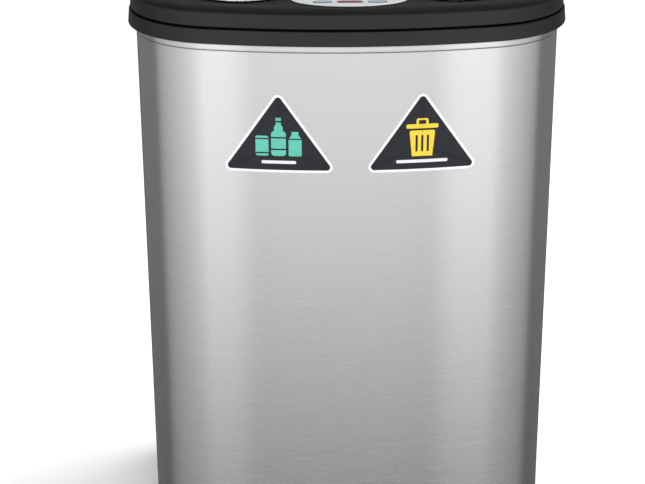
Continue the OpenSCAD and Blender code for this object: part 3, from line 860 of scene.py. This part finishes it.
def keycap(name, middle, width, depth, z_low, z_high, crown, rim_mm):
    """A bar with round ends: an upright wall, a rounded rim and a shallow dome."""
    cap = Surface()
    outline = pill(middle, width, depth)
    radius = rim_mm * MM
    rows = [(0, z_low)] + quarter((0, z_high - radius), radius, radius, 6)
    rim = loop_rows(outline, rows)
    cap.cap(rim[0], [*middle, z_low])
    domed(cap, outline, rows, middle, crown, 5)
    return cap.build(name)


for side, name in ((-1, "left"), (1, "right")):
    middle = (side * BUTTON_X, BUTTON_Y)
    base = keycap(f"button_base_{name}", middle, BUTTON_W, BUTTON_D, button_low.z + 3 * MM,
                  button_high.z - 0.8 * MM, 0.0, 0.5)
    mount(base, f"button_{name}", "button_blue", ring_dark.material)
    cap = keycap(f"button_cap_{name}", middle, BUTTON_W - 2.4 * MM, BUTTON_D - 2.4 * MM,
                 button_high.z - 1.6 * MM, button_high.z - 0.3 * MM, 0.3 * MM, 0.7)
    mount(cap, f"button_{name}", "button_blue", blue.material, f"button_{name}")
glass = keycap("window_lens", (0, BUTTON_Y), WINDOW_W, WINDOW_D, window_low.z,
               window_high.z - 0.2 * MM, 0.2 * MM, 0.5)
mount(glass, "head", "window_red", red.material, "sensor_window")

# %% [markdown]
# ## The buckets
# Each bucket is a moulded half-D with a turned-out rim, a slight draft and round corners along the dividing
# wall. Its outline is the D's outline on one side, closed by two quarter rounds. Outer wall, rim and
# inner wall are one run of rows, so the wall's thickness shows at the rim as it would on the real one.

# %% Buckets
bucket_low, bucket_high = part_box("bucket_right")


def half_outline(off, gap, radius=12 * MM):
    """The part of the D right of x = gap + radius, and two quarter rounds that close it along x = gap."""
    whole = d_outline(off)
    front = whole[:72][d_outline()[:72, 0] > 28 * MM]
    rest = whole[72:146]
    behind = line((HALF_W - BACK_R, HALF_D + off), (gap + radius, HALF_D + off), 16)
    front_y, back_y = front[0, 1], HALF_D + off
    return np.concatenate([front, rest, behind, arc((gap + radius, back_y - radius), radius, 90, 180, 8),
                           line((gap, back_y - radius), (gap, front_y + radius), 12),
                           arc((gap + radius, front_y + radius), radius, 180, 270, 8)])


def bucket(side):
    """Rows (off, gap, z): up the outer wall with its draft, over the rolled rim, and down inside."""
    rim_off, rim_gap = -15 * MM, 3 * MM
    low, top = bucket_low.z, bucket_high.z
    profile = [(-6, 6, low), (-3.6, 3.6, low + 0.8 * MM), (-2.6, 2.6, low + 3.5 * MM), (-2, 2, low + 40 * MM),
               (-2, 2, top - 6 * MM), (-0.8, 0.8, top - 6 * MM), (0, 0, top - 5 * MM), (0, 0, top - 1.5 * MM),
               (-0.6, 0.6, top - 0.4 * MM), (-1.6, 1.6, top), (-3, 3, top), (-3.8, 3.8, top - 0.8 * MM),
               (-4, 4, top - 3 * MM), (-4.6, 4.6, low + 6 * MM), (-6, 6, low + 2.6 * MM),
               (-9, 9, low + 2 * MM)]
    rows = []
    for off, gap, z in profile:
        loop = half_outline(rim_off + off * MM, rim_gap + gap * MM)
        rows.append(np.column_stack([side * loop[:, 0], loop[:, 1], np.full(len(loop), z)]))
    return rows


for side, name in ((-1, "left"), (1, "right")):
    rows = bucket(side)
    pail = Surface().rings(np.array(rows))
    floor_x = side * 110 * MM
    pail.cap(rows[0], [floor_x, 0, bucket_low.z])
    pail.cap(rows[-1], [floor_x, 0, bucket_low.z + 2 * MM])
    pail = pail.build(f"bucket_shell_{name}")
    mount(pail, f"bucket_{name}", "bucket_plastic", grey_plastic, f"bucket_{name}")

# %% [markdown]
# ## Finishes for the CAD nodes
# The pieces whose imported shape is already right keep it. Each gets a finish of its own, and the ones with
# sharp edges get a fine bevel so that their edges catch light.


# %% Small finishes
def plain(name, low, high, roughness, scale=200, metallic=0.0, coat=0.0, relief=0.15):
    """Two close tones in a noise, and the same noise as a faint relief."""
    finish = Finish(name, roughness=roughness, metallic=metallic, coat_weight=coat)
    grain = finish.noise(scale, 4)
    finish.set(base_color=finish.mix(grain, low, high))
    return finish.bump(grain, relief, 0.05 * MM).material


rubber = plain("rubber", (0.016, 0.016, 0.017), (0.028, 0.028, 0.029), 0.75, 700, relief=0.3)
foam = plain("foam", (0.03, 0.03, 0.032), (0.075, 0.075, 0.078), 0.95, 1600, relief=0.8)
plated = plain("plated_steel", (0.58, 0.58, 0.56), (0.74, 0.74, 0.72), 0.24, 300, 1.0)
motor_can = plain("motor_can", (0.50, 0.50, 0.49), (0.64, 0.64, 0.63), 0.3, 160, 1.0)
acetal = plain("gear_case", (0.58, 0.56, 0.47), (0.68, 0.66, 0.58), 0.42, 120)
chip = plain("component_black", (0.02, 0.02, 0.021), (0.035, 0.035, 0.036), 0.4, 500)
lens = plain("diode_lens", (0.03, 0.015, 0.06), (0.06, 0.03, 0.10), 0.1, 60, coat=1.0, relief=0.02)
led = plain("led_lens", (0.20, 0.55, 0.22), (0.34, 0.74, 0.34), 0.25, 90, coat=0.5, relief=0.02)
rocker = plain("rocker_red", (0.25, 0.012, 0.012), (0.34, 0.02, 0.02), 0.32, 260)
switch_black = moulded("switch_black", (0.012, 0.012, 0.013), 0.3, 900).material

board = Finish("board_green", roughness=0.35, coat_weight=0.5)
bx, by, _ = board.axes((0, BUTTON_Y, 0))
tracks = (bx * 0.45).of("SINE") * (by * 0.8).of("SINE")
copper = ((tracks - 0.25) * 12).clip()
board.set(base_color=board.mix(copper, (0.008, 0.085, 0.035), (0.03, 0.20, 0.07)))
board.bump(copper, 0.3, 0.05 * MM)

cell = Finish("cell_wrap", roughness=0.28, coat_weight=0.6)
cx, _, _ = cell.axes()
along = ((cx + 500) / 61.3).of("FRACT")
band = ((along - 0.72) * 30).clip()
cell.set(base_color=cell.mix(band, (0.015, 0.015, 0.017), (0.42, 0.22, 0.06)), metallic=band * 0.8)
cell.bump(cell.noise(120, 2), 0.05, 0.05 * MM)

FINISHES = {
    "rubber_feet": rubber, "lid_bumpers": rubber, "seal": foam, "collar_screws": plated,
    "head_screws": plated, "board_screws": plated, "hinge_pin_left": plated, "hinge_pin_right": plated,
    "drive_shaft_left": plated, "drive_shaft_right": plated, "battery_contacts": plated,
    "motor_left": motor_can, "motor_right": motor_can, "gearbox_left": acetal, "gearbox_right": acetal,
    "tact_switches": chip, "sensor_diodes": lens, "status_leds": led, "circuit_board": board.material,
    "battery_cells": cell.material, "battery_box": dark_plastic, "head_base": dark_plastic,
    "switch_frame": switch_black, "power_switch": rocker, "battery_door": black,
    "lid_frame_left": black, "lid_frame_right": black,
}
BEVELLED = {"battery_door": 0.6, "switch_frame": 0.4, "power_switch": 0.6, "gearbox_left": 1.0,
            "gearbox_right": 1.0, "battery_box": 0.5, "rubber_feet": 0.8, "lid_frame_left": 0.4,
            "lid_frame_right": 0.4}
for name, material in FINISHES.items():
    node = nodes[name]
    node.data.materials.clear()
    node.data.materials.append(material)
for name, width in BEVELLED.items():
    weld = nodes[name].modifiers.new("weld", "WELD")
    weld.merge_threshold = 0.01 * MM
    bevel = nodes[name].modifiers.new("soft edges", "BEVEL")
    bevel.width = width * MM
    bevel.segments = 2
    bevel.limit_method = "ANGLE"
    bevel.angle_limit = np.radians(40)
    bevel.harden_normals = False
print(len(FINISHES), "CAD nodes finished")

# %% [markdown]
# ## Studio
# The floor is plain and pale. A drum that only reflections can see stands round the bin, as the white
# cards and black flags of a product studio do: a broad pale front, a brighter card at each side of it,
# and then a flag's edge, behind which it is dark. The glow fades towards the floor. The values are a
# card's brightness at each angle from the front.

# %% Floor and drum
floor_mesh = bpy.data.meshes.new("floor")
floor_mesh.from_pydata([(-8, -8, 0), (8, -8, 0), (8, 8, 0), (-8, 8, 0)], [], [(0, 1, 2, 3)])
floor = bpy.data.objects.new("floor", floor_mesh)
scene.collection.objects.link(floor)
floor_mesh.materials.append(Finish("floor", base_color=(0.9, 0.9, 0.9), roughness=0.9,
                                   specular_ior_level=0.0).material)
floor.visible_glossy = False

CARDS = ((0, 1.18), (16, 1.17), (22, 1.08), (26, 1.42), (34, 1.42), (42, 1.20), (48, 1.06), (58, 0.90),
         (68, 0.77), (88, 0.53), (93, 0.45), (96, 0.235), (140, 0.21), (150, 0.13), (180, 0.13))
DRUM = 1.4
DRUM_LOW, DRUM_HIGH = -3.0, 4.0
BRIGHTEST = 1.45
around = np.linspace(0, 2 * np.pi, 96, endpoint=False)
drum_rows = np.array([np.stack([DRUM * np.sin(around), -DRUM * np.cos(around), np.full(96, z)], 1)
                      for z in (DRUM_LOW, DRUM_HIGH)])
drum = Surface().rings(drum_rows)
drum.cap(drum_rows[1], [0, 0, DRUM_HIGH])
drum = drum.build("drum")
studio = Nodes("studio_cards")
studio.tree.nodes.remove(studio.tree.nodes["Principled BSDF"])
across, depth, height = studio.axes()
angle = abs(across.math("ARCTAN2", across, depth * -1)) * (180 / np.pi)
stops = [(degrees / 180, card / BRIGHTEST) for degrees, card in CARDS]
ramp = studio.node("ValToRGB", {"stops": stops}, {0: angle / 180})
fade = (height * 0.0009 + 0.80).clip(0.05, 1.05)
share = (1.25 - angle / 150).clip()
low_card = 1 - share * (1 - fade)
flag = 1 - ((height - 1000) / 350).clip() * 0.85
upper = ((angle / 60 - 1.6).clip() * ((height - 900) / 400).clip()) * 0.22
level = studio.node("RGBToBW", {}, {0: ramp})
glow = level * low_card * flag * BRIGHTEST + upper
shine = studio.node("Emission", {}, {"Color": (1, 1, 1), "Strength": glow})
connect(studio.tree, studio.tree.nodes["Material Output"].inputs["Surface"], shine)
drum.data.materials.append(studio.material)
drum.visible_camera = drum.visible_diffuse = drum.visible_shadow = drum.visible_transmission = False


# %% Lights
def softbox(name, place, aim, size, power):
    """A square area light at place, turned towards aim."""
    data = bpy.data.lights.new(name, "AREA")
    data.size, data.energy = size, power
    light = bpy.data.objects.new(name, data)
    scene.collection.objects.link(light)
    light.location = place
    light.rotation_euler = (Vector(aim) - Vector(place)).to_track_quat("-Z", "Y").to_euler()
    light.visible_glossy = False
    return light


softbox("key", (0.9, 0.4, 2.8), (0, 0, 0.2), 1.5, 60)
softbox("front", (0.6, -2.6, 2.4), (0, 0, 0.5), 1.8, 14)
world = bpy.data.worlds.new("studio")
scene.world = world
world.use_nodes = True
world.node_tree.nodes["Background"].inputs[0].default_value = (1, 1, 1, 1)
world.node_tree.nodes["Background"].inputs[1].default_value = 0.95
scene.view_settings.view_transform = "Standard"
print(len(bpy.data.lights), "lights")

# %% [markdown]
# ## The last step
# The view layer is brought up to date.

# %% Finish
bpy.context.view_layer.update()
